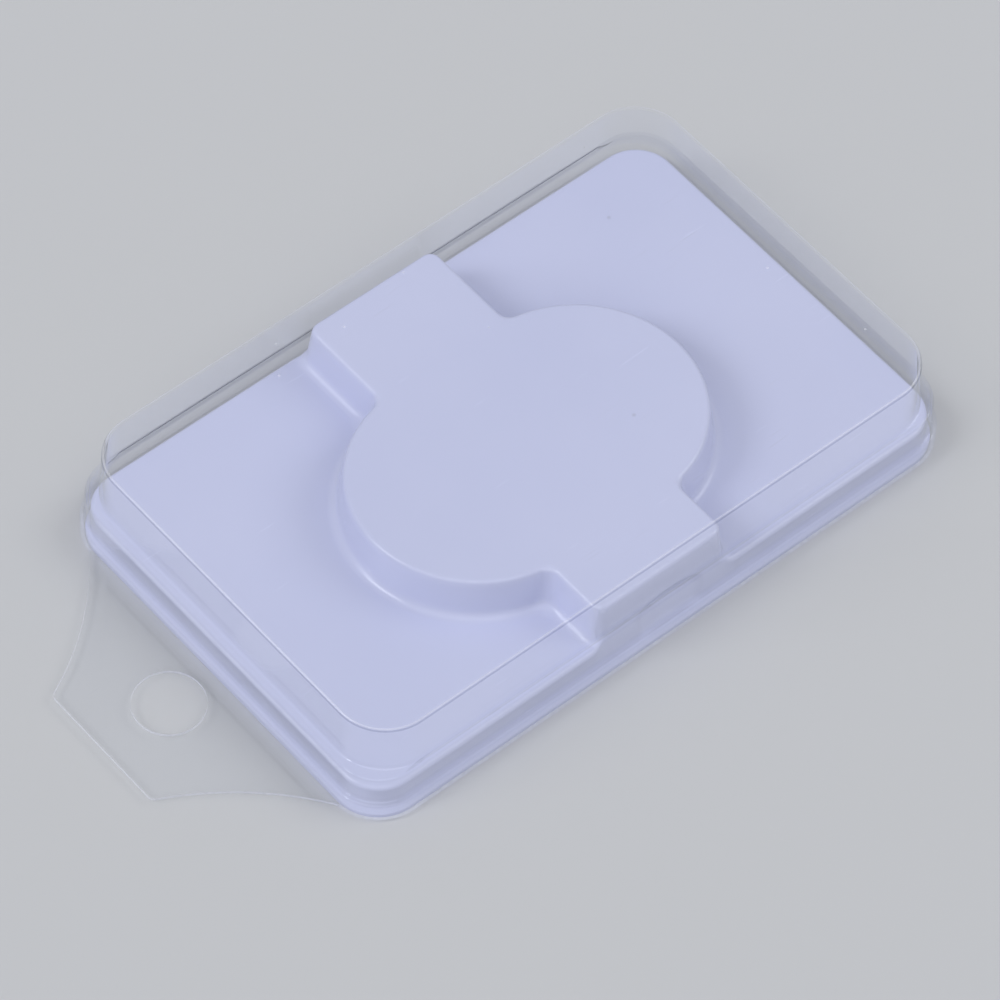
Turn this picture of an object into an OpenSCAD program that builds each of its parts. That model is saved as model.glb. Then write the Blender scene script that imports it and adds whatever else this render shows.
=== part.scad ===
// Two-piece plastic clamshell pack: a clear stepped cover with a hang tab
// over a white formed tray with a raised holding platform.
// Millimetres, +Z up, z = 0 at the bottom rim of the tray.
// The tab points to -X and the box around both pieces is centred on x = 0.

/* [Cover] */
// Length of the cover's flat top along X, mm
dome_len = 77.8; // [72:0.2:90]
// Width of the cover's flat top along Y, mm
dome_wid = 49; // [46:0.2:60]
// Corner radius of the flat top, mm
dome_r = 5.9; // [4.5:0.1:9]
// Overall height of the closed pack, mm
cover_h = 13.3; // [12:0.1:18]
// Outward lean of the upper wall over its height, mm
dome_draft = 0.35; // [0:0.05:0.6]
// Size of the small bevel round the top edge, mm
top_bevel = 0.4; // [0.2:0.05:0.8]
// Thickness of the clear film, mm
film_t = 0.35; // [0.25:0.05:0.45]
// Height of the upper step above the table, mm
shoulder_z = 6.8; // [6.2:0.1:7.2]
// Stand-out of the upper step beyond the top at the short ends, mm
shoulder_end = 1.3; // [1.2:0.05:1.6]
// Stand-out of the upper step beyond the top at the long sides, mm
shoulder_side = 0.9; // [0.8:0.05:1.2]
// Corner radius of the upper step, mm
shoulder_r = 5.2; // [4.6:0.1:8]
// Height of the lower step above the table, mm
skirt_z = 2.9; // [2.6:0.1:3.2]
// Stand-out of the lower step beyond the upper one, mm
skirt_out = 0.6; // [0.5:0.05:1.2]
// Size of the small bevel along the outer edge of both steps, mm
step_bevel = 0.25; // [0.15:0.05:0.35]
// Height of the cover's lower edge and of the tab above the table, mm
hem_z = 0.5; // [0.3:0.05:0.8]

/* [Hang tab] */
// Reach of the tab beyond the lower step, mm
tab_len = 14.5; // [12:0.1:20]
// Width of the tab across its front edge before the corners are rounded, mm
tab_front = 16.6; // [12:0.1:24]
// Width of the tab where it leaves the lower step, mm
tab_root = 41.4; // [34:0.1:43]
// Radius of the hollow curve along each side of the tab, mm
tab_flare_r = 37; // [30:0.5:60]
// Radius of the two front corners of the tab, mm
tab_corner_r = 1; // [0.6:0.1:2]
// Diameter of the round hang hole, mm
hang_hole_d = 8; // [5:0.1:9]
// Distance from the front edge of the tab to the middle of the hole, mm
hang_hole_back = 8.9; // [7:0.1:9.5]

/* [Tray] */
// Thickness of the tray's sheet, mm
sheet_t = 0.5; // [0.4:0.05:0.6]
// Height of the tray's flat deck, mm
deck_z = 4.5; // [4:0.1:5.2]
// Gap between the tray and the film round it, mm
fit_gap = 0.2; // [0.15:0.05:0.3]
// Size of the small bevel along the tray's upper edges, mm
edge_bevel = 0.3; // [0.2:0.05:0.4]
// Height at which the tray's wall starts to spread towards its rim, mm
flare_z = 2.4; // [2:0.1:2.5]
// Height of the upright rim at the foot of the tray, mm
rim_z = 0.6; // [0.5:0.1:0.9]

/* [Platform] */
// Height of the raised platform, mm
platform_z = 9.7; // [9:0.1:10.4]
// Width of the crossing bar at the platform's top, mm
bar_wid = 17.2; // [14:0.2:22]
// Corner radius of the bar's ends, mm
bar_r = 1.2; // [1:0.1:2]
// Overall length of the oval at the platform's top, mm
oval_len = 42.1; // [36:0.2:50]
// Width of the oval at the platform's top, mm
oval_wid = 27.7; // [22:0.2:31]
// Offset of the oval towards the near long side, mm
oval_shift = 2.3; // [0:0.1:3]
// Radius of the hollow corners between bar and oval at the platform's top, mm
corner_r = 1.5; // [1.2:0.1:2]
// Outward lean of the platform's walls from top to deck, mm
platform_draft = 0.7; // [0.6:0.05:0.9]
// Distance from the bar's end faces to the deck's long edges, mm
end_step = 0.3; // [0.3:0.05:0.6]

/* [End dents] */
// Length of the shallow dent in each end face of the bar, mm
dent_len = 9.2; // [6:0.2:10]
// Radius of the rounded dent, mm
dent_r = 1.6; // [1.3:0.1:1.8]
// Depth of the dent below the face, mm
dent_depth = 0.35; // [0.2:0.05:0.4]

/* [Hidden] */
$fn = 96;
eps = 0.01;
half = 0.5;

// The pack sits this far towards +X so that the box with the tab is centred
pack_x = tab_len * half;

dome_hx = dome_len * half;
dome_hy = dome_wid * half;
dome_cx = dome_hx - dome_r;
dome_cy = dome_hy - dome_r;
dome_foot_r = dome_r + dome_draft;
shoulder_hx = dome_hx + shoulder_end;
shoulder_hy = dome_hy + shoulder_side;
step_cx = shoulder_hx - shoulder_r;
step_cy = shoulder_hy - shoulder_r;
skirt_hx = shoulder_hx + skirt_out;
skirt_hy = shoulder_hy + skirt_out;
skirt_r = shoulder_r + skirt_out;

// Hang tab: two big circles hollow out its sides
tab_x0 = -skirt_hx - tab_len;
hole_x = tab_x0 + hang_hole_back;
tip_dx = tab_len;
tip_dy = (tab_root - tab_front) * half;
chord = sqrt(tip_dx * tip_dx + tip_dy * tip_dy);
chord_rise = sqrt(tab_flare_r * tab_flare_r - chord * chord * half * half);
flare_x = tab_x0 + tip_dx * half - chord_rise * tip_dy / chord;
flare_y = (tab_front + tab_root) * half * half + chord_rise * tip_dx / chord;
nose_x = tab_x0 + tab_corner_r;
nose_reach = tab_flare_r + tab_corner_r;
nose_dx = nose_x - flare_x;
nose_y = flare_y - sqrt(nose_reach * nose_reach - nose_dx * nose_dx);
nose_cut_x = nose_x - tab_corner_r * nose_dx / nose_reach;
tab_bite = 1.5;
tab_inner_x = -skirt_hx + tab_bite;

// Tray outlines share the corner centres of the cover's steps
wall_lean = 0.05;
cove = 0.2;
deck_inset = film_t + fit_gap + wall_lean;
deck_r = shoulder_r - deck_inset;
deck_hy = shoulder_hy - deck_inset;
rim_r = skirt_r - film_t - fit_gap;
cove_z = rim_z + (flare_z - rim_z) * 0.4;

// Platform
bar_top_hx = bar_wid * half;
bar_top_hy = deck_hy - end_step - platform_draft;
bar_foot_r = bar_r + platform_draft;
bar_cx = bar_top_hx - bar_r;
bar_cy = bar_top_hy - bar_r;
oval_top_r = oval_wid * half;
oval_foot_r = oval_top_r + platform_draft;
oval_cx = oval_len * half - oval_top_r;
bury = 0.3;
foot_z = deck_z - bury;
rise = platform_z - deck_z;
bury_r = platform_draft * bury / rise;
bevel_r = edge_bevel * platform_draft / rise;

// Hollow corners: a cone clears a wedge and bites slightly into both walls
corner_bite = 0.06;
corner_reach = corner_r - corner_bite;
corner_x = bar_top_hx + corner_reach;
corner_dx = corner_x - oval_cx;
corner_span = oval_top_r + corner_reach;
corner_dy = sqrt(corner_span * corner_span - corner_dx * corner_dx);

// Dents sit just above the deck in the faces of the bar
dent_lift = 0.4;
dent_z = deck_z + dent_lift;
dent_face_y = bar_top_hy + platform_draft * (1 - dent_lift / rise);
dent_y = dent_face_y + dent_r - dent_depth;
dent_run = dent_len * half - dent_r;

// Block with rounded corners; its faces lean evenly from radius r0 to r1
module leaning_block(cx, cy, r0, r1, z0, z1) {
    rotate([90, 0, 0])
        linear_extrude(2 * cy, center = true)
            polygon([[-cx - r0, z0], [cx + r0, z0], [cx + r1, z1], [-cx - r1, z1]]);
    rotate([90, 0, 90])
        linear_extrude(2 * cx, center = true)
            polygon([[-cy - r0, z0], [cy + r0, z0], [cy + r1, z1], [-cy - r1, z1]]);
    for (sx = [-1, 1])
        for (sy = [-1, 1])
            translate([sx * cx, sy * cy, z0])
                cylinder(h = z1 - z0, r1 = r0, r2 = r1);
}

// Outer form of the cover, or its hollow when inset by the film
module cover_form(inset, drop) {
    skirt_top = skirt_z - inset;
    shoulder_top = shoulder_z - inset;
    dome_top = cover_h - inset;
    skirt_edge = skirt_r - inset;
    shoulder_edge = shoulder_r - inset;
    dome_edge = dome_r - inset;
    leaning_block(step_cx, step_cy, skirt_edge, skirt_edge, hem_z - drop, skirt_top - step_bevel);
    leaning_block(step_cx, step_cy, skirt_edge, skirt_edge - step_bevel, skirt_top - step_bevel, skirt_top);
    leaning_block(step_cx, step_cy, shoulder_edge, shoulder_edge, skirt_top - eps, shoulder_top - step_bevel);
    leaning_block(step_cx, step_cy, shoulder_edge, shoulder_edge - step_bevel,
                  shoulder_top - step_bevel, shoulder_top);
    leaning_block(dome_cx, dome_cy, dome_edge + dome_draft, dome_edge,
                  shoulder_top - eps, dome_top - top_bevel);
    leaning_block(dome_cx, dome_cy, dome_edge, dome_edge - top_bevel, dome_top - top_bevel, dome_top);
}

module tab_outline() {
    difference() {
        translate([nose_cut_x, -skirt_hy])
            square([tab_inner_x - nose_cut_x, 2 * skirt_hy]);
        for (s = [-1, 1])
            translate([flare_x, s * flare_y])
                circle(tab_flare_r);
    }
    translate([tab_x0, -nose_y])
        square([tab_corner_r, 2 * nose_y]);
    for (s = [-1, 1])
        translate([nose_x, s * nose_y])
            circle(tab_corner_r);
}

module cover() {
    color([0.86, 0.89, 0.95, 0.3])
        translate([pack_x, 0, 0])
            difference() {
                union() {
                    cover_form(0, 0);
                    translate([0, 0, hem_z])
                        linear_extrude(film_t)
                            tab_outline();
                }
                cover_form(film_t, 2 * eps);
                translate([hole_x, 0, hem_z - film_t])
                    cylinder(h = 3 * film_t, d = hang_hole_d);
            }
}

// Outer form of the tray, or its hollow when inset by the sheet
module tray_form(inset, drop) {
    low = inset * half;
    rim_edge = rim_r - inset;
    deck_edge = deck_r - inset;
    deck_top = deck_z - inset;
    leaning_block(step_cx, step_cy, rim_edge, rim_edge, -drop, rim_z - low);
    leaning_block(step_cx, step_cy, rim_edge, deck_edge + wall_lean + cove, rim_z - low, cove_z - low);
    leaning_block(step_cx, step_cy, deck_edge + wall_lean + cove, deck_edge + wall_lean,
                  cove_z - low, flare_z - low);
    leaning_block(step_cx, step_cy, deck_edge + wall_lean, deck_edge, flare_z - low, deck_top - edge_bevel);
    leaning_block(step_cx, step_cy, deck_edge, deck_edge - edge_bevel, deck_top - edge_bevel, deck_top);
    platform_form(inset);
}

module platform_form(inset) {
    leaning_block(bar_cx, bar_cy, bar_foot_r + bury_r - inset, bar_r + bevel_r - inset,
                  foot_z - inset, platform_z - inset - edge_bevel);
    leaning_block(bar_cx, bar_cy, bar_r + bevel_r - inset, bar_r + bevel_r - inset - edge_bevel,
                  platform_z - inset - edge_bevel, platform_z - inset);
    translate([0, -oval_shift, 0]) {
        oval(oval_foot_r + bury_r - inset, oval_top_r + bevel_r - inset,
             foot_z - inset, platform_z - inset - edge_bevel);
        oval(oval_top_r + bevel_r - inset, oval_top_r + bevel_r - inset - edge_bevel,
             platform_z - inset - edge_bevel, platform_z - inset);
        corner_fills(inset);
    }
}

// Wedges that fill the hollow corners between bar and oval, cleared by cones
module corner_fills(inset) {
    low_z = foot_z - inset;
    bevel_z = platform_z - inset - edge_bevel;
    low_r = corner_r + inset - platform_draft - bury_r;
    high_r = corner_r + inset - bevel_r;
    for (sx = [-1, 1])
        for (sy = [-1, 1])
            difference() {
                translate([0, 0, low_z])
                    linear_extrude(rise + bury)
                        polygon([[sx * oval_cx, 0], [sx * corner_x, sy * corner_dy], [0, sy * corner_dy]]);
                translate([sx * corner_x, sy * corner_dy, low_z - eps])
                    cylinder(h = bevel_z - low_z + eps, r1 = low_r, r2 = high_r);
                translate([sx * corner_x, sy * corner_dy, bevel_z])
                    cylinder(h = edge_bevel + eps, r1 = high_r, r2 = high_r + edge_bevel + eps);
            }
}

// Oval block whose walls lean evenly from radius r0 to r1
module oval(r0, r1, z0, z1) {
    rotate([90, 0, 90])
        linear_extrude(2 * oval_cx, center = true)
            polygon([[-r0, z0], [r0, z0], [r1, z1], [-r1, z1]]);
    for (sx = [-1, 1])
        translate([sx * oval_cx, 0, z0])
            cylinder(h = z1 - z0, r1 = r0, r2 = r1);
}

// Rounded bars that press a dent into both end faces of the bar
module dents(r) {
    for (s = [-1, 1])
        translate([0, s * dent_y, dent_z]) {
            rotate([0, 90, 0])
                cylinder(h = 2 * dent_run, r = r, center = true);
            for (e = [-1, 1])
                translate([e * dent_run, 0, 0])
                    sphere(r);
        }
}

module tray() {
    color([0.74, 0.76, 0.88])
        translate([pack_x, 0, 0])
            difference() {
                tray_form(0, 0);
                difference() {
                    tray_form(sheet_t, 2 * eps);
                    dents(dent_r + sheet_t);
                }
                dents(dent_r);
            }
}

cover();
tray();
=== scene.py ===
import math

import bpy
import numpy as np
from mathutils import Matrix, Vector
from mathutils.geometry import delaunay_2d_cdt


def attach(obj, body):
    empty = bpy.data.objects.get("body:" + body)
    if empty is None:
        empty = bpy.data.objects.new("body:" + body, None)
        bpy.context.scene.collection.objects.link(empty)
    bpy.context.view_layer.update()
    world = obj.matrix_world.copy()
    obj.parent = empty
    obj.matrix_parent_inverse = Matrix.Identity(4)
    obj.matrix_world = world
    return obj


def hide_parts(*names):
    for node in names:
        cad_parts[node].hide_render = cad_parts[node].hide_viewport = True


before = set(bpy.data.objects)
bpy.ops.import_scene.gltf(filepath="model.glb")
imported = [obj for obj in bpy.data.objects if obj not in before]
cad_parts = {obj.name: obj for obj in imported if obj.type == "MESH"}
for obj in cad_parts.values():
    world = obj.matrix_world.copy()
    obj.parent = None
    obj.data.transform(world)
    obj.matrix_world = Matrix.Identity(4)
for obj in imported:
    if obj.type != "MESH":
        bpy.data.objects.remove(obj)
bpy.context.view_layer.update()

# A clear stepped cover with a hang tab over a white formed tray.
# Shapes are worked out in millimetres round the middle of the cover without its tab,
# and turned into the frame's metres when a mesh is made.

MM = 0.001

# Heights above the table, and sheet thicknesses
COVER_TOP, SHOULDER_Z, SKIRT_Z, HEM_Z = 13.3, 6.8, 2.9, 0.5
PLATFORM_Z, DECK_Z = 9.7, 4.5
FILM_T, SHEET_T = 0.35, 0.45

# Half lengths of the outlines, and the corner centres of the dome and of all the others
DOME_HX, DOME_FOOT_HX = 38.9, 39.25
SHOULDER_HX, SKIRT_HX, DECK_HX = 40.2, 40.8, 39.6
DOME_CX, DOME_CY = 33.0, 18.6
STEP_CX, STEP_CY = 35.0, 20.2
DECK_R = DECK_HX - STEP_CX
DECK_HY = STEP_CY + DECK_R

# The cover's profile, from its top down: half length and height
COVER_CORNERS = [
    (DOME_HX - 2.4, COVER_TOP),
    (DOME_HX, COVER_TOP),
    (DOME_FOOT_HX, SHOULDER_Z),
    (SHOULDER_HX, SHOULDER_Z),
    (SHOULDER_HX, SKIRT_Z),
    (SKIRT_HX, SKIRT_Z),
    (SKIRT_HX, HEM_Z),
]
COVER_RADII = [0.42, 0.25, 0.4, 0.2, 0.38]
DOME_RINGS_END = DOME_FOOT_HX + 0.27  # rings out to here keep the dome's corner centres
TOP_SAG = 0.12

# The tray's profile, from its deck down: distance outside the deck's outline and height
FLARE_TOP = (0.14, 1.25)
TRAY_CORNERS = [(-1.4, DECK_Z), (0, DECK_Z), (0.03, 2.2), FLARE_TOP, (0.65, 0.62), (0.65, 0)]
TRAY_RADII = [0.5, 4.0, 0.8, 0.22]
LIFT_END_Z = 2.4  # the platform's foot no longer shows in the tray's wall below this

# The platform's outline: a bar across the pack and an oval, and its profile as above
BAR_HX, BAR_HY, BAR_R = 8.6, 23.8, 1.2
OVAL_CX, OVAL_Y, OVAL_R = 7.2, -2.3, 13.85
WALL_OUT = 0.7
PLATFORM_CORNERS = [(-1.3, PLATFORM_Z), (0, PLATFORM_Z), (WALL_OUT, DECK_Z), (2.4, DECK_Z)]
PLATFORM_RADII = [0.48, 1.15]
# Hollow corners between bar and oval: radius at the top, growth outwards, and limits
HOLLOW_R, HOLLOW_GROWTH, HOLLOW_MIN, HOLLOW_MAX = 1.3, 0.8, 0.5, 2.4

# Dents in the bar's ends: middle, top of the rim, half length at full depth, run of the ends
DENT_X, DENT_RIM_Z, DENT_HX, DENT_RUN = 0.9, 5.9, 3.3, 1.5
DENT_ARCH = 0.045  # how fast the rim falls away from its middle
# Their depths, from the foot up, and the heights of these from the rim
DENT_HEIGHTS = [-4.1, -3.2, -1.0, -0.2, 0.3]
DENT_DEPTHS = [0, 0.26, 0.44, 0.32, 0]

# Hang tab: length, half widths at front and root, radii of its hollow sides and its nose
TAB_LEN, TAB_FRONT, TAB_ROOT, FLARE_R, NOSE_R = 14.5, 8.3, 20.7, 37.0, 1.0
TAB_FRONT_X = -SKIRT_HX - TAB_LEN
HOLE_R, HOLE_X = 4.0, TAB_FRONT_X + 8.9
TAB_SINK = 0.18  # how far the tab's plate reaches into the cover's wall

# The frame's origin is the middle of the cover with its tab, so the middle without it
# lies this far towards +X
MIDDLE_X = TAB_LEN / 2


# Paths and outlines


def unit(v):
    return v / np.linalg.norm(v)


def eased(share):
    """A share clipped to 0..1 that starts and ends softly."""
    share = np.clip(share, 0, 1)
    return share * share * (3 - 2 * share)


def rounded(points, radii, steps):
    """A path through points with each inner corner turned into an arc."""
    points = [np.array(p, float) for p in points]
    path = [points[0]]
    for before, corner, after, r in zip(points, points[1:], points[2:], radii):
        back, on = unit(before - corner), unit(after - corner)
        half = math.acos(max(-1.0, min(1.0, float(back @ on)))) / 2
        centre = corner + unit(back + on) * r / math.sin(half)
        start = corner + back * r / math.tan(half) - centre
        end = corner + on * r / math.tan(half) - centre
        first = math.atan2(start[1], start[0])
        sweep = (math.atan2(end[1], end[0]) - first + math.pi) % math.tau - math.pi
        for i in range(steps + 1):
            a = first + sweep * i / steps
            path.append(centre + r * np.array([math.cos(a), math.sin(a)]))
    path.append(points[-1])
    return path


def guarded(path, gap, longest):
    """The path with points close to both ends of each long run, so flats shade flat."""
    out = [path[0]]
    for a, b in zip(path, path[1:]):
        run = float(np.linalg.norm(b - a))
        if run > 4 * gap:
            pieces = max(1, math.ceil((run - 2 * gap) / longest))
            for t in np.linspace(gap / run, 1 - gap / run, pieces + 1):
                out.append(a + (b - a) * t)
        out.append(b)
    return out


def side_steps(half, step, fine_half=0.0, fine_step=0.0):
    """Places along a straight side as shares of its half length. They lie step apart,
    and fine_step apart within fine_half of the side's middle."""
    if not fine_half:
        return np.linspace(-half, half, math.ceil(2 * half / step) + 1) / half
    middle = np.linspace(-fine_half, fine_half, math.ceil(2 * fine_half / fine_step) + 1)
    outer = np.linspace(fine_half, half, math.ceil((half - fine_half) / step) + 1)[1:]
    return np.concatenate([-outer[::-1], middle, outer]) / half


def ring(cx, cy, r, corner_steps, xs, ys):
    """A rounded rectangle, counter-clockwise. xs and ys run along its sides as shares of
    the half length of each straight."""
    points = [(cx + r, y * cy) for y in ys[:-1]]
    for turn, (sx, sy) in enumerate([(1, 1), (-1, 1), (-1, -1), (1, -1)]):
        first = turn * math.pi / 2
        for i in range(corner_steps):
            a = first + math.pi / 2 * i / corner_steps
            points.append((sx * cx + r * math.cos(a), sy * cy + r * math.sin(a)))
        if turn == 0:
            points += [(-x * cx, cy + r) for x in xs[:-1]]
        elif turn == 1:
            points += [(-cx - r, -y * cy) for y in ys[:-1]]
        elif turn == 2:
            points += [(x * cx, -cy - r) for x in xs[:-1]]
    return np.array(points)


def arc(cx, cy, r, turns):
    return np.stack([cx + r * np.cos(turns), cy + r * np.sin(turns)], axis=1)


def grid_points(x_ends, y_ends, step):
    """Points step apart in both directions between the two ends of each."""
    xs, ys = (np.arange(low, high + 0.1, step) for low, high in (x_ends, y_ends))
    gx, gy = np.meshgrid(xs, ys)
    return np.stack([gx.ravel(), gy.ravel()], axis=1)


def box_distance(x, y, hx, hy, r):
    """How far a place lies outside a rounded rectangle."""
    qx, qy = np.abs(x) - (hx - r), np.abs(y) - (hy - r)
    outside = np.hypot(np.maximum(qx, 0), np.maximum(qy, 0))
    return outside + np.minimum(np.maximum(qx, qy), 0) - r


def run_along(steps_x, steps_y):
    """Length along a path up to each of its points, from the steps between them."""
    return np.concatenate([[0], np.cumsum(np.hypot(steps_x, steps_y))])


# Meshes


def spread(points, least):
    """The points in order, without those that lie closer than least to an earlier one."""
    cells, kept = {}, []
    for p in points:
        key = (int(p[0] // least), int(p[1] // least))
        near = [
            q
            for i in (-1, 0, 1)
            for j in (-1, 0, 1)
            for q in cells.get((key[0] + i, key[1] + j), ())
        ]
        if all((p[0] - q[0]) ** 2 + (p[1] - q[1]) ** 2 >= least * least for q in near):
            cells.setdefault(key, []).append(p)
            kept.append(p)
    return np.array(kept)


def fill(points, rim_size, hole_size=0):
    """Triangles over the points. The first rim_size of them are the rim, and the next
    hole_size go round a round hole. Gives the points as used, the triangles, and the
    places of the rim and of the hole among those points."""
    rim = list(range(rim_size))
    hole = list(range(rim_size, rim_size + hole_size))
    hole_edges = list(zip(hole, hole[1:] + hole[:1]))
    found, _, tris, origin, _, _ = delaunay_2d_cdt(
        [Vector((float(p[0]), float(p[1]))) for p in points], hole_edges, [rim], 1, 1e-6
    )
    at = {source: place for place, sources in enumerate(origin) for source in sources}
    flat = np.array([(v.x, v.y) for v in found])
    hole_centre, hole_reach = np.zeros(2), 0.0
    if hole:
        hole_centre = points[hole].mean(axis=0)
        hole_reach = np.hypot(*(points[hole[0]] - hole_centre)) * 0.999
    kept = []
    for tri in tris:
        a, b, c = (flat[i] for i in tri)
        area = (b[0] - a[0]) * (c[1] - a[1]) - (b[1] - a[1]) * (c[0] - a[0])
        in_hole = np.hypot(*((a + b + c) / 3 - hole_centre)) < hole_reach
        if not in_hole and abs(area) > 1e-9:
            kept.append(tuple(tri) if area > 0 else tuple(reversed(tri)))
    return flat, kept, [at[i] for i in rim], [at[i] for i in hole]


def strip(inner, outer):
    """Quads between two closed rings of places, the first inside or above the second."""
    n = len(inner)
    return [
        (inner[i], outer[i], outer[(i + 1) % n], inner[(i + 1) % n]) for i in range(n)
    ]


def hang_rings(top, faces, rim, rings):
    """A skin from its top, with its faces and its rim's places, and rings hung one below
    the other from that rim. Gives the points, the faces and the last ring's places."""
    verts, faces, count = [top], list(faces), len(top)
    for points in rings:
        verts.append(points)
        below = list(range(count, count + len(points)))
        faces += strip(rim, below)
        rim, count = below, count + len(points)
    return np.vstack(verts), faces, rim


def vertex_normals(verts, faces):
    normals = np.zeros_like(verts)
    for size in (3, 4):
        group = np.array([f for f in faces if len(f) == size])
        if not len(group):
            continue
        a, b, c = verts[group[:, 0]], verts[group[:, 1]], verts[group[:, 2]]
        if size == 3:
            cross = np.cross(b - a, c - a)
        else:
            cross = np.cross(c - a, verts[group[:, 3]] - b)
        for column in range(size):
            np.add.at(normals, group[:, column], cross)
    return normals / np.linalg.norm(normals, axis=1, keepdims=True)


def shell(verts, faces, rim, thickness):
    """A closed sheet: the skin given, a second one inside it, and an edge along the rim."""
    n = len(verts)
    inner = verts - thickness * vertex_normals(verts, faces)
    inner[rim, 2] = verts[rim, 2]
    skins = list(faces) + [tuple(n + i for i in reversed(f)) for f in faces]
    edge = strip(rim, [n + i for i in rim])
    return np.vstack([verts, inner]), skins, edge


def make_object(name, verts, groups, materials):
    """An object from vertices in millimetres; groups is one list of faces per material."""
    mesh = bpy.data.meshes.new(name)
    placed = (verts + np.array([MIDDLE_X, 0.0, 0.0])) * MM
    mesh.from_pydata(placed.tolist(), [], [f for group in groups for f in group])
    for material in materials:
        mesh.materials.append(material)
    index = [slot for slot, group in enumerate(groups) for _ in group]
    mesh.polygons.foreach_set("material_index", index)
    mesh.validate()
    obj = bpy.data.objects.new(name, mesh)
    bpy.context.scene.collection.objects.link(obj)
    return obj


def finish_mesh(mesh, sharp_degrees):
    """Smooth shading, apart from edges sharper than this."""
    mesh.polygons.foreach_set("use_smooth", [True] * len(mesh.polygons))
    mesh.set_sharp_from_angle(angle=math.radians(sharp_degrees))
    mesh.update()


# Shader nodes


def node(tree, kind, **inputs):
    """A node with some of its inputs set or linked, by name or, as in0, by place."""
    made = tree.nodes.new(kind)
    for key, value in inputs.items():
        by_place = key.startswith("in") and key[2:].isdigit()
        place = int(key[2:]) if by_place else key.replace("_", " ")
        if isinstance(value, bpy.types.NodeSocket):
            tree.links.new(value, made.inputs[place])
        else:
            made.inputs[place].default_value = value
    return made


def maths(tree, operation, a, b=0.0, c=0.0, clamp=False):
    made = node(tree, "ShaderNodeMath", in0=a, in1=b, in2=c)
    made.operation = operation
    made.use_clamp = clamp
    return made.outputs[0]


def times(tree, a, b):
    return maths(tree, "MULTIPLY", a, b)


def scaled(tree, a, factor, base):
    """a times factor, plus base."""
    return maths(tree, "MULTIPLY_ADD", a, factor, base)


def rest_of(tree, share):
    return maths(tree, "SUBTRACT", 1.0, share)


def larger(tree, a, b):
    return maths(tree, "MAXIMUM", a, b)


def span(tree, value, low, high, to_low=0.0, to_high=1.0):
    """The value's range from low to high mapped to another one, and clipped to it."""
    made = node(
        tree,
        "ShaderNodeMapRange",
        Value=value,
        From_Min=low,
        From_Max=high,
        To_Min=to_low,
        To_Max=to_high,
    )
    return made.outputs["Result"]


def blend_colour(tree, share, a, b):
    """A colour between a and b. The mix node's colour inputs are those at 6 and 7."""
    made = tree.nodes.new("ShaderNodeMix")
    made.data_type = "RGBA"
    for place, value in ((0, share), (6, a), (7, b)):
        if isinstance(value, bpy.types.NodeSocket):
            tree.links.new(value, made.inputs[place])
        else:
            made.inputs[place].default_value = value
    return made.outputs[2]


def blend_shader(tree, share, a, b):
    return node(tree, "ShaderNodeMixShader", in0=share, in1=a.outputs[0], in2=b.outputs[0])


def new_material(name):
    material = bpy.data.materials.new(name)
    material.use_nodes = True
    material.node_tree.nodes.clear()
    tree = material.node_tree
    coords = tree.nodes.new("ShaderNodeTexCoord").outputs["Object"]
    out = tree.nodes.new("ShaderNodeOutputMaterial")
    return material, tree, coords, out


def noise(tree, coords, scale, detail):
    made = node(tree, "ShaderNodeTexNoise", Vector=coords, Scale=scale, Detail=detail)
    return made.outputs["Fac"]


def scratches(tree, coords, turn, length_scale, width_scale):
    """A mask of fine lines: noise stretched along one direction."""
    mapping = node(
        tree,
        "ShaderNodeMapping",
        Vector=coords,
        Rotation=(0.0, 0.0, turn),
        Scale=(length_scale, width_scale, width_scale),
    )
    return span(tree, noise(tree, mapping.outputs[0], 1.0, 1.0), 0.72, 0.80)


def specks(tree, coords, scale, radius, share):
    """A mask of small dots, in this share of the cells."""
    cells = node(tree, "ShaderNodeTexVoronoi", Vector=coords, Scale=scale)
    dot = span(tree, cells.outputs["Distance"], radius * 0.6, radius, 1.0, 0.0)
    split = node(tree, "ShaderNodeSeparateColor", Color=cells.outputs["Color"])
    return times(tree, dot, maths(tree, "LESS_THAN", split.outputs["Red"], share))


# Materials


def plastic_white():
    """Satin formed sheet, a cool lavender white."""
    material, tree, coords, out = new_material("formed_white_sheet")
    cloud = span(tree, noise(tree, coords, 38.0, 3.0), 0.3, 0.7)
    colour = blend_colour(tree, cloud, (0.560, 0.585, 0.800, 1), (0.590, 0.612, 0.822, 1))
    dust = specks(tree, coords, scale=330.0, radius=0.10, share=0.035)
    colour = blend_colour(tree, times(tree, dust, 0.35), colour, (0.36, 0.37, 0.50, 1))
    scuff = scratches(tree, coords, turn=0.6, length_scale=170.0, width_scale=2600.0)
    grain = noise(tree, coords, 2400.0, 2.0)
    rough = scaled(tree, scuff, 0.10, scaled(tree, grain, 0.07, 0.18))
    ripple = noise(tree, coords, 90.0, 2.0)
    broad_bump = node(
        tree, "ShaderNodeBump", Strength=0.35, Distance=0.00012, Height=ripple
    )
    fine_bump = node(
        tree,
        "ShaderNodeBump",
        Strength=0.25,
        Distance=0.00001,
        Height=grain,
        Normal=broad_bump.outputs[0],
    )
    shader = node(
        tree,
        "ShaderNodeBsdfPrincipled",
        Base_Color=colour,
        Roughness=rough,
        Normal=fine_bump.outputs[0],
        IOR=1.5,
    )
    tree.links.new(shader.outputs[0], out.inputs[0])
    return material


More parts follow.
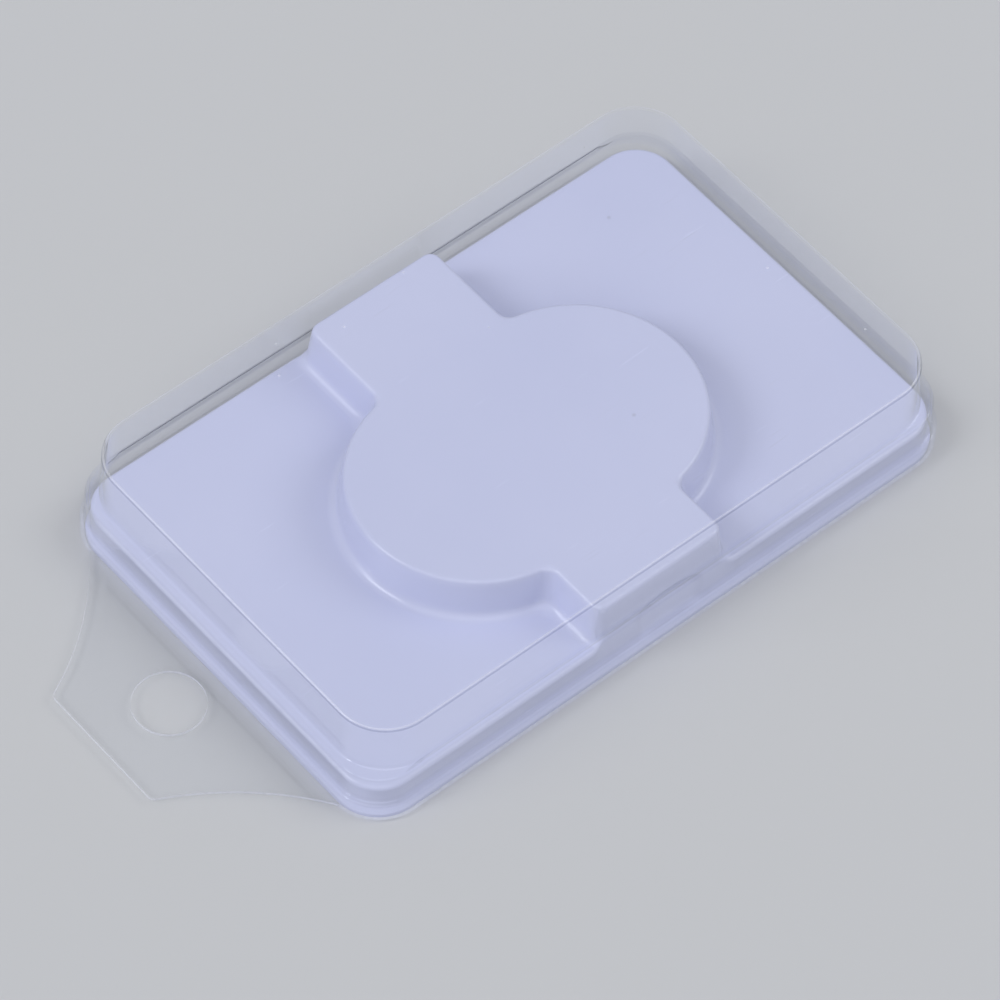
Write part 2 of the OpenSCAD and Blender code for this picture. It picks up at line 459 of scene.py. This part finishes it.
def film_corners(tree, coords):
    """Masks for the film's formed corners, told by the way it faces: the painted highlight
    line at the top's corner, the painted shade line below it, where the film lies low, and
    where it is dull."""
    normal = node(tree, "ShaderNodeSeparateXYZ", Vector=coords.node.outputs["Normal"])
    up = normal.outputs["Z"]
    below_flat = span(tree, up, 0.93, 0.985, 1.0, 0.0)
    upper_half = span(tree, up, 0.58, 0.70)
    off_wall = span(tree, up, 0.10, 0.24)
    # The top's corner is the crisp one; the lower steps are soft and hardly show
    height = node(tree, "ShaderNodeSeparateXYZ", Vector=coords).outputs["Z"]
    low = span(tree, height, 0.0085, 0.0105, 1.0, 0.0)
    crisp = rest_of(tree, low)
    # Painted highlight and painted shade: a pale line on the top's corner and a darker line
    # below it, placed by the way the film faces
    painted_highlight_line = times(tree, times(tree, below_flat, upper_half), crisp)
    painted_shade_line = times(tree, off_wall, rest_of(tree, upper_half))
    painted_shade_line = times(tree, painted_shade_line, larger(tree, crisp, 0.12))
    # Round the pack's own corners the lower steps keep their gloss and catch the lamps
    slant = times(tree, normal.outputs["X"], normal.outputs["Y"])
    turned = span(tree, maths(tree, "ABSOLUTE", slant), 0.03, 0.10)
    corner = times(tree, below_flat, off_wall)
    dull = times(tree, corner, rest_of(tree, times(tree, turned, low)))
    return painted_highlight_line, painted_shade_line, low, dull


def film_clear():
    """Clear formed film: see-through with a mirror gloss that grows towards glancing views.
    Its formed corners carry a painted highlight, a fine pale line, with a painted shade line
    below it. Lamps and soft light pass straight through, so what is packed under it stays
    lit."""
    material, tree, coords, out = new_material("clear_formed_film")
    path = tree.nodes.new("ShaderNodeLightPath").outputs
    passing = larger(tree, path["Is Shadow Ray"], path["Is Diffuse Ray"])
    passing = larger(tree, passing, path["Is Reflection Ray"])
    painted_highlight_line, painted_shade_line, low, dull = film_corners(tree, coords)

    scuff = larger(
        tree,
        scratches(tree, coords, turn=0.35, length_scale=190.0, width_scale=3000.0),
        scratches(tree, coords, turn=1.9, length_scale=230.0, width_scale=3600.0),
    )
    handled = span(tree, noise(tree, coords, 55.0, 1.0), 0.56, 0.66)
    scuff = times(tree, scuff, handled)
    dust = specks(tree, coords, scale=420.0, radius=0.085, share=0.03)

    ripple = noise(tree, coords, 60.0, 1.0)
    bump = node(tree, "ShaderNodeBump", Strength=0.10, Distance=0.00004, Height=ripple)
    # Painted shade: the see-through colour turns darker along the corner's shade line
    tint = blend_colour(
        tree, painted_shade_line, (0.990, 0.992, 0.996, 1), (0.740, 0.750, 0.800, 1)
    )
    through = node(tree, "ShaderNodeBsdfTransparent", Color=tint)
    gloss = node(
        tree,
        "ShaderNodeBsdfGlossy",
        Color=(0.97, 0.98, 1.0, 1),
        Roughness=scaled(tree, dull, 0.20, scaled(tree, scuff, 0.2, 0.035)),
        Normal=bump.outputs[0],
    )
    facing = node(tree, "ShaderNodeLayerWeight", Blend=0.5).outputs["Facing"]
    mirror = scaled(tree, maths(tree, "POWER", facing, 5.0), 0.90, 0.042)
    faded = times(tree, times(tree, low, dull), 0.82)
    mirror = times(tree, mirror, rest_of(tree, faded))
    sheet = blend_shader(tree, mirror, through, gloss)

    # The pale veil shows dust and scuffs, and a painted highlight along the top's corner
    # line
    dust_and_painted_highlight_share = scaled(tree, dust, 0.30, scaled(tree, scuff, 0.05, 0.004))
    dust_and_painted_highlight_share = maths(tree, "MULTIPLY_ADD", painted_highlight_line, 0.17, dust_and_painted_highlight_share, clamp=True)
    pale_haze_and_highlight = node(
        tree, "ShaderNodeBsdfDiffuse", Color=(0.88, 0.89, 0.96, 1), Roughness=0.0
    )
    clear = node(tree, "ShaderNodeBsdfTransparent", Color=(0.975, 0.978, 0.985, 1))
    both = blend_shader(tree, passing, blend_shader(tree, dust_and_painted_highlight_share, sheet, pale_haze_and_highlight), clear)
    tree.links.new(both.outputs[0], out.inputs[0])
    return material


def film_edge():
    """The sheared edge of the film, painted pale and part translucent: a painted highlight
    standing in for the light its clear edge carries.
    """
    material, tree, coords, out = new_material("film_cut_edge")
    burr = noise(tree, coords, 1500.0, 2.0)
    # Painted highlight: a pale colour on the clear cut edge, with grain from the burr noise
    colour = blend_colour(tree, burr, (0.86, 0.87, 0.94, 1), (0.93, 0.94, 0.99, 1))
    bump = node(tree, "ShaderNodeBump", Strength=0.2, Distance=0.00002, Height=burr)
    shine = node(
        tree,
        "ShaderNodeBsdfPrincipled",
        Base_Color=colour,
        Roughness=scaled(tree, burr, 0.2, 0.18),
        Normal=bump.outputs[0],
    )
    painted_edge_glow = node(tree, "ShaderNodeBsdfTranslucent", Color=colour)
    pale = blend_shader(tree, 0.45, shine, painted_edge_glow)
    clear = node(tree, "ShaderNodeBsdfTransparent", Color=(0.95, 0.96, 0.98, 1))
    mixed = blend_shader(tree, scaled(tree, burr, 0.12, 0.60), clear, pale)
    tree.links.new(mixed.outputs[0], out.inputs[0])
    return material


def floor_paint():
    material, tree, coords, out = new_material("pale_floor")
    grain = noise(tree, coords, 14.0, 3.0)
    colour = blend_colour(tree, grain, (0.545, 0.550, 0.565, 1), (0.560, 0.565, 0.580, 1))
    shader = node(
        tree, "ShaderNodeBsdfPrincipled", Base_Color=colour, Roughness=0.65
    )
    tree.links.new(shader.outputs[0], out.inputs[0])
    return material


# Tray


def deck_distance(x, y):
    return box_distance(x, y, DECK_HX, DECK_HY, DECK_R)


def platform_distance(x, y):
    """How far a place lies outside the platform's top outline. The hollow corners between
    bar and oval widen as the outline grows, so the level is found by halving."""
    bar = box_distance(x, y, BAR_HX, BAR_HY, BAR_R)
    oval = np.hypot(np.maximum(np.abs(x) - OVAL_CX, 0), y - OVAL_Y) - OVAL_R
    low, high = np.full_like(bar, -40.0), np.minimum(bar, oval)
    for _ in range(44):
        level = (low + high) / 2
        hollow = np.clip(HOLLOW_R + HOLLOW_GROWTH * level, HOLLOW_MIN, HOLLOW_MAX)
        a, b = bar - level, oval - level
        joined = np.maximum(hollow, np.minimum(a, b)) - np.hypot(
            np.maximum(hollow - a, 0), np.maximum(hollow - b, 0)
        )
        low = np.where(joined > 0, level, low)
        high = np.where(joined > 0, high, level)
    return (low + high) / 2


def walk_to(points, level):
    """The points moved straight out or in until they lie at this platform distance."""
    points = points.copy()
    nudge = 1e-4
    for _ in range(5):
        x, y = points[:, 0], points[:, 1]
        across = platform_distance(x + nudge, y) - platform_distance(x - nudge, y)
        along = platform_distance(x, y + nudge) - platform_distance(x, y - nudge)
        slope = np.stack([across, along], axis=1) / (2 * nudge)
        steepness = np.maximum((slope**2).sum(axis=1, keepdims=True), 0.25)
        points -= slope * (platform_distance(x, y) - level)[:, None] / steepness
    return points


def platform_outline(spacing):
    """Evenly spaced points round the platform's top outline."""
    turns = np.linspace(0, math.tau, 3000, endpoint=False)
    low, high = np.zeros_like(turns), np.full_like(turns, 40.0)
    for _ in range(40):
        reach = (low + high) / 2
        x, y = arc(0, OVAL_Y, reach, turns).T
        outside = platform_distance(x, y) > 0
        low, high = np.where(outside, low, reach), np.where(outside, reach, high)
    loop = arc(0, OVAL_Y, low, turns)
    closed = np.vstack([loop, loop[:1]])
    run = run_along(*np.diff(closed, axis=0).T)
    places = np.linspace(0, run[-1], round(run[-1] / spacing), endpoint=False)
    return np.stack([np.interp(places, run, closed[:, k]) for k in (0, 1)], axis=1)


def platform_rings():
    """Rings of points round the platform, from its top edge outwards and then inwards."""
    path = guarded(rounded(PLATFORM_CORNERS, PLATFORM_RADII, 7), 0.16, 0.4)
    levels = sorted({round(float(out), 5) for out, _ in path})
    outward = [level for level in levels if level >= 0]
    inward = [level for level in reversed(levels) if level < 0]
    outline = walk_to(platform_outline(0.45), 0.0)
    rings = []
    for run in (outward, inward):
        loop = outline
        for level in run:
            loop = walk_to(loop, level)
            rings.append(loop)
    return rings


def platform_lift(x, y):
    """Height of the platform and its foot above the deck."""
    path = np.array(rounded(PLATFORM_CORNERS, PLATFORM_RADII, 48))
    return np.interp(platform_distance(x, y), path[:, 0], path[:, 1]) - DECK_Z


def skin_height(x, y):
    """Height of the deck, its rounded edge and the platform over a place."""
    edge = np.array(rounded(TRAY_CORNERS[:3], TRAY_RADII[:1], 48))
    return np.interp(deck_distance(x, y), edge[:, 0], edge[:, 1]) + platform_lift(x, y)


def end_face_rows(first_y, last_y):
    """Rows over the bar's end face, evenly spaced along its slope."""
    across = np.linspace(first_y, last_y, 500)
    fall = skin_height(np.zeros_like(across), across)
    run = run_along(np.diff(across), np.diff(fall))
    count = math.ceil(run[-1] / 0.26) + 1
    return np.interp(np.linspace(0, run[-1], count), run, across)


def middle_points(rim, limit, inner_rings):
    """The points for the tray's middle part, its rim first: rings along the deck's edge
    and round the platform, a wide grid, and a fine one where the dents are pressed."""
    grid = grid_points(x_ends=(-38.5, 38.5), y_ends=(-23.1, 23.1), step=2.2)
    away, from_edge = platform_distance(*grid.T), deck_distance(*grid.T)
    grid = grid[((away > 3.2) | (away < -2.2)) & (from_edge < -2.2)]
    cloud = np.vstack([rim, *inner_rings, *platform_rings(), grid])

    face_hx, face_y = 6.9, BAR_HY - 0.3
    inside = deck_distance(*cloud.T) < limit - 0.03
    on_face = (np.abs(cloud[:, 0]) < face_hx) & (np.abs(cloud[:, 1]) > face_y)
    keep = inside & ~on_face
    keep[: len(rim)] = True
    columns = rim[(np.abs(rim[:, 0]) < face_hx) & (rim[:, 1] > 0), 0]
    rows = end_face_rows(face_y + 0.1, DECK_HY + limit - 0.02)
    face_points = [(x, side * y) for side in (-1, 1) for y in rows for x in columns]
    return np.vstack([spread(cloud[keep], 0.045), face_points])


def straighten_ends(verts):
    """The bar's end faces run straight down to the flare, with no ledge at deck level."""
    x, y, z = verts.T
    top_z, (foot_out, foot_z) = 5.7, FLARE_TOP
    softness, side_run = 0.008, 1.3
    top_y = BAR_HY + WALL_OUT * (PLATFORM_Z - top_z) / (PLATFORM_Z - DECK_Z)
    line = np.interp(z, [foot_z, top_z], [DECK_HY + foot_out, top_y])
    past = np.where(z > foot_z, np.maximum(np.abs(y) - line, 0), 0)
    share = past / (past + softness) * eased((BAR_HX + 1.2 - np.abs(x)) / side_run)
    verts[:, 1] -= np.sign(y) * past * share


def press_dents(verts):
    """Shallow pockets with a crisp upper rim in both end faces of the bar."""
    x, y, z = verts.T
    along = x - DENT_X
    up = z - (DENT_RIM_Z - DENT_ARCH * along**2)
    depth = np.interp(up, DENT_HEIGHTS, DENT_DEPTHS)
    depth *= 1 - eased((np.abs(along) - DENT_HX) / DENT_RUN)
    near_end = np.abs(y) > BAR_HY - 1.2
    verts[:, 1] -= np.where(near_end, np.sign(y) * depth, 0)


def tray_skin():
    """The tray's upper skin. Its middle, out to halfway round the deck's edge, is filled
    with triangles, and rings hang from there down to the table."""
    profile = guarded(rounded(TRAY_CORNERS, TRAY_RADII, 6), 0.16, 0.3)
    wall_start = 8  # the profile's first point that lies on a hung ring
    middle, wall = profile[:wall_start], profile[wall_start:]
    limit = middle[-1][0]
    xs = side_steps(STEP_CX, step=1.3, fine_half=12.0, fine_step=0.42)
    ys = side_steps(STEP_CY, step=1.3)

    def tray_ring(out):
        return ring(STEP_CX, STEP_CY, DECK_R + out, 18, xs, ys)

    rim = tray_ring(limit)
    inner_rings = [tray_ring(out) for out, _ in reversed(middle[:-1])]
    flat, tris, rim_places, _ = fill(middle_points(rim, limit, inner_rings), len(rim))
    top = np.column_stack([flat, skin_height(*flat.T)])
    rings = []
    for out, height in wall:
        loop = tray_ring(out)
        share = eased((height - LIFT_END_Z) / (DECK_Z - LIFT_END_Z))
        rings.append(np.column_stack([loop, height + platform_lift(*loop.T) * share]))
    verts, faces, hem = hang_rings(top, tris, rim_places, rings)
    straighten_ends(verts)
    press_dents(verts)
    return verts, faces, hem


def build_tray():
    verts, faces, hem = tray_skin()
    verts, skins, edge = shell(verts, faces, hem, SHEET_T)
    tray = make_object("tray_shell", verts, [skins + edge], [plastic_white()])
    finish_mesh(tray.data, 40)
    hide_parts("tray")
    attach(tray, "tray")


# Cover


def cover_skin():
    """The cover's outer skin: its top filled with triangles, and rings down to the hem."""
    profile = guarded(rounded(COVER_CORNERS, COVER_RADII, 7), 0.14, 1.2)
    xs = side_steps(STEP_CX, step=1.5)
    ys = side_steps(STEP_CY, step=1.5)

    def cover_ring(hx):
        cx, cy = (DOME_CX, DOME_CY) if hx < DOME_RINGS_END else (STEP_CX, STEP_CY)
        return ring(cx, cy, hx - cx, 22, xs, ys)

    flat_hx = profile[0][0]
    flat_r = flat_hx - DOME_CX
    rim = cover_ring(flat_hx)
    grid = grid_points(x_ends=(-35, 35), y_ends=(-20, 20), step=2.5)
    inside = box_distance(*grid.T, flat_hx, DOME_CY + flat_r, flat_r) < -1.0
    flat, tris, rim_places, _ = fill(np.vstack([rim, grid[inside]]), len(rim))
    top = np.column_stack([flat, np.full(len(flat), COVER_TOP)])
    rings = []
    for hx, height in profile[1:]:
        loop = cover_ring(hx)
        rings.append(np.column_stack([loop, np.full(len(loop), height)]))
    verts, faces, hem = hang_rings(top, tris, rim_places, rings)
    # The top sags very slightly between its edges, as formed film does
    x, y = verts[:, 0] / DOME_HX, verts[:, 1] / (DOME_CY + DOME_HX - DOME_CX)
    hollow = np.clip(1 - x**2, 0, 1) * np.clip(1 - y**2, 0, 1)
    verts[:, 2] -= np.where(verts[:, 2] > COVER_TOP - 0.01, TOP_SAG * hollow, 0)
    return verts, faces, hem


def tab_outline():
    """The tab's outline, counter-clockwise, and the centre of its upper hollow side."""
    dx, dy = TAB_LEN, TAB_ROOT - TAB_FRONT
    chord = math.hypot(dx, dy)
    rise = math.sqrt(FLARE_R**2 - chord**2 / 4)
    flare_x = TAB_FRONT_X + dx / 2 - rise * dy / chord
    flare_y = (TAB_FRONT + TAB_ROOT) / 2 + rise * dx / chord
    nose_x = TAB_FRONT_X + NOSE_R
    nose_y = flare_y - math.sqrt((FLARE_R + NOSE_R) ** 2 - (nose_x - flare_x) ** 2)
    meet = math.atan2(flare_y - nose_y, flare_x - nose_x)
    root_x = -SKIRT_HX + TAB_SINK
    last = -math.acos((root_x - flare_x) / FLARE_R)
    nose = arc(nose_x, nose_y, NOSE_R, np.linspace(math.pi, meet, 9))
    side = arc(flare_x, flare_y, FLARE_R, np.linspace(meet - math.pi, last, 42)[1:])
    upper = np.vstack([nose, side])
    lower = upper[::-1] * np.array([1, -1])
    root = [(root_x, y) for y in np.linspace(upper[-1][1], lower[0][1], 42)[1:-1]]
    front = [(TAB_FRONT_X, y) for y in np.linspace(-nose_y, nose_y, 14)[1:-1]]
    return np.vstack([root[::-1], upper[::-1], front[::-1], lower[::-1]]), (flare_x, flare_y)


def tab_slab():
    """The hang tab as a closed plate that reaches into the lower step's wall."""
    outline, (flare_x, flare_y) = tab_outline()

    def off_sides(points, gap):
        away = np.hypot(points[:, 0] - flare_x, np.abs(points[:, 1]) - flare_y)
        return away > FLARE_R + gap

    turns = np.linspace(0, math.tau, 96, endpoint=False)
    hole = arc(HOLE_X, 0, HOLE_R, turns)
    around = [arc(HOLE_X, 0, HOLE_R + gap, turns[::2]) for gap in (0.25, 1.0)]
    row_ys = np.linspace(-20.3, 20.3, 56)
    rows = [np.array([(-SKIRT_HX - gap, y) for y in row_ys]) for gap in (0.12, 0.6)]
    rows = [row[off_sides(row, 0.12)] for row in rows]
    x_ends = (TAB_FRONT_X + 1.2, -SKIRT_HX - 1.6)
    grid = grid_points(x_ends, y_ends=(-19.2, 19.2), step=1.6)
    off_hole = np.hypot(grid[:, 0] - HOLE_X, grid[:, 1]) > HOLE_R + 1.8
    grid = grid[off_sides(grid, 0.8) & off_hole]
    cloud = spread(np.vstack([outline, hole, *around, *rows, grid]), 0.03)

    flat, tris, rim, hole_rim = fill(cloud, len(outline), len(hole))
    n = len(flat)
    top = np.full(n, HEM_Z + FILM_T)
    low = np.full(n, HEM_Z + 0.004)  # a hair above the hem, so no faces coincide
    verts = np.vstack([np.column_stack([flat, top]), np.column_stack([flat, low])])
    skins = list(tris) + [tuple(n + i for i in reversed(t)) for t in tris]
    outer = strip(rim, [n + i for i in rim])
    inner = [tuple(reversed(f)) for f in strip(hole_rim, [n + i for i in hole_rim])]
    return verts, skins, outer + inner


def joined_mesh(body, part):
    """The mesh of both objects as one solid. The part itself is removed."""
    join = body.modifiers.new("join", "BOOLEAN")
    join.operation = "UNION"
    join.solver = "EXACT"
    join.object = part
    bpy.context.view_layer.update()
    shaped = body.evaluated_get(bpy.context.evaluated_depsgraph_get())
    mesh = bpy.data.meshes.new_from_object(shaped)
    body.modifiers.clear()
    bpy.data.objects.remove(part)
    return mesh


def build_cover():
    materials = [film_clear(), film_edge()]
    verts, faces, hem_ring = cover_skin()
    verts, skins, hem = shell(verts, faces, hem_ring, FILM_T)
    # Where the tab grows out of the wall there is no cut edge
    for face in list(hem):
        x, y = verts[list(face)].mean(axis=0)[:2]
        if x < -SKIRT_HX + 0.5 and abs(y) < TAB_ROOT:
            hem.remove(face)
            skins.append(face)
    cover = make_object("cover_film", verts, [skins, hem], materials)
    tab_verts, tab_skins, tab_edges = tab_slab()
    tab = make_object("tab_part", tab_verts, [tab_skins, tab_edges], materials)
    cover.data = joined_mesh(cover, tab)
    finish_mesh(cover.data, 38)
    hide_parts("cover")
    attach(cover, "cover")


# Stage

FLOOR_HALF, FLOOR_Z = 8.0, -0.00003
# Name, direction towards the lamp, its angle across in degrees, strength and colour
LAMPS = [
    ("left", (-0.71, 0.26, 0.64), 24, 0.865, (0.97, 0.98, 1.0)),
    ("low", (-0.84, 0.44, 0.32), 14, 0.23, (0.97, 0.98, 1.0)),
    ("right", (0.64, -0.42, 0.64), 34, 0.73, (0.97, 0.98, 1.0)),
    ("front", (-0.43, -0.46, 0.77), 60, 0.635, (0.97, 0.98, 1.0)),
    ("top", (-0.10, -0.05, 0.99), 80, 0.125, (0.98, 0.985, 1.0)),
]


def build_floor():
    mesh = bpy.data.meshes.new("floor")
    corners = [(-1, -1), (1, -1), (1, 1), (-1, 1)]
    verts = [(sx * FLOOR_HALF, sy * FLOOR_HALF, FLOOR_Z) for sx, sy in corners]
    mesh.from_pydata(verts, [], [(0, 1, 2, 3)])
    mesh.materials.append(floor_paint())
    floor = bpy.data.objects.new("floor", mesh)
    bpy.context.scene.collection.objects.link(floor)


def build_lamps():
    for name, towards, angle, strength, colour in LAMPS:
        lamp = bpy.data.lights.new(name, "SUN")
        lamp.energy = strength
        lamp.angle = math.radians(angle)
        lamp.color = colour
        holder = bpy.data.objects.new(name, lamp)
        holder.rotation_euler = Vector(towards).to_track_quat("Z", "Y").to_euler()
        bpy.context.scene.collection.objects.link(holder)


def build_world():
    """Soft light from all round, and a pale plain backdrop where the world is seen."""
    world = bpy.data.worlds.new("studio")
    bpy.context.scene.world = world
    world.use_nodes = True
    tree = world.node_tree
    tree.nodes.clear()
    path = tree.nodes.new("ShaderNodeLightPath").outputs
    seen = larger(tree, path["Is Camera Ray"], path["Is Glossy Ray"])
    seen = larger(tree, seen, path["Is Transmission Ray"])
    light = node(tree, "ShaderNodeBackground", Color=(0.95, 0.97, 1.0, 1), Strength=0.44)
    pale = node(tree, "ShaderNodeBackground", Color=(0.560, 0.567, 0.592, 1), Strength=1.0)
    both = blend_shader(tree, seen, light, pale)
    out = tree.nodes.new("ShaderNodeOutputWorld")
    tree.links.new(both.outputs[0], out.inputs[0])


def build_camera():
    """The photograph's view: where it stands was worked out from the pack's own edges."""
    azimuth, elevation, roll = (math.radians(a) for a in (-42.52, 53.74, 3.0))
    target = Vector((1.82, -4.39, 6.0)) * MM
    distance, focal_px, frame_px = 0.69015, 6557.8, 1000
    back = Vector(
        (
            math.sin(azimuth) * math.cos(elevation),
            -math.cos(azimuth) * math.cos(elevation),
            math.sin(elevation),
        )
    )
    right = Vector((math.cos(azimuth), math.sin(azimuth), 0))
    up = back.cross(right)
    x_axis = math.cos(roll) * right + math.sin(roll) * up
    y_axis = -math.sin(roll) * right + math.cos(roll) * up
    data = bpy.data.cameras.new("photo_view")
    data.sensor_width = 36
    data.lens = data.sensor_width * focal_px / frame_px
    data.clip_start, data.clip_end = 0.01, 20
    camera = bpy.data.objects.new("photo_view", data)
    turn = Matrix((x_axis, y_axis, back)).transposed().to_4x4()
    camera.matrix_world = Matrix.Translation(target + back * distance) @ turn
    bpy.context.scene.collection.objects.link(camera)
    bpy.context.scene.camera = camera


build_tray()
build_cover()
build_floor()
build_lamps()
build_world()
build_camera()
bpy.context.scene.view_settings.view_transform = "Standard"
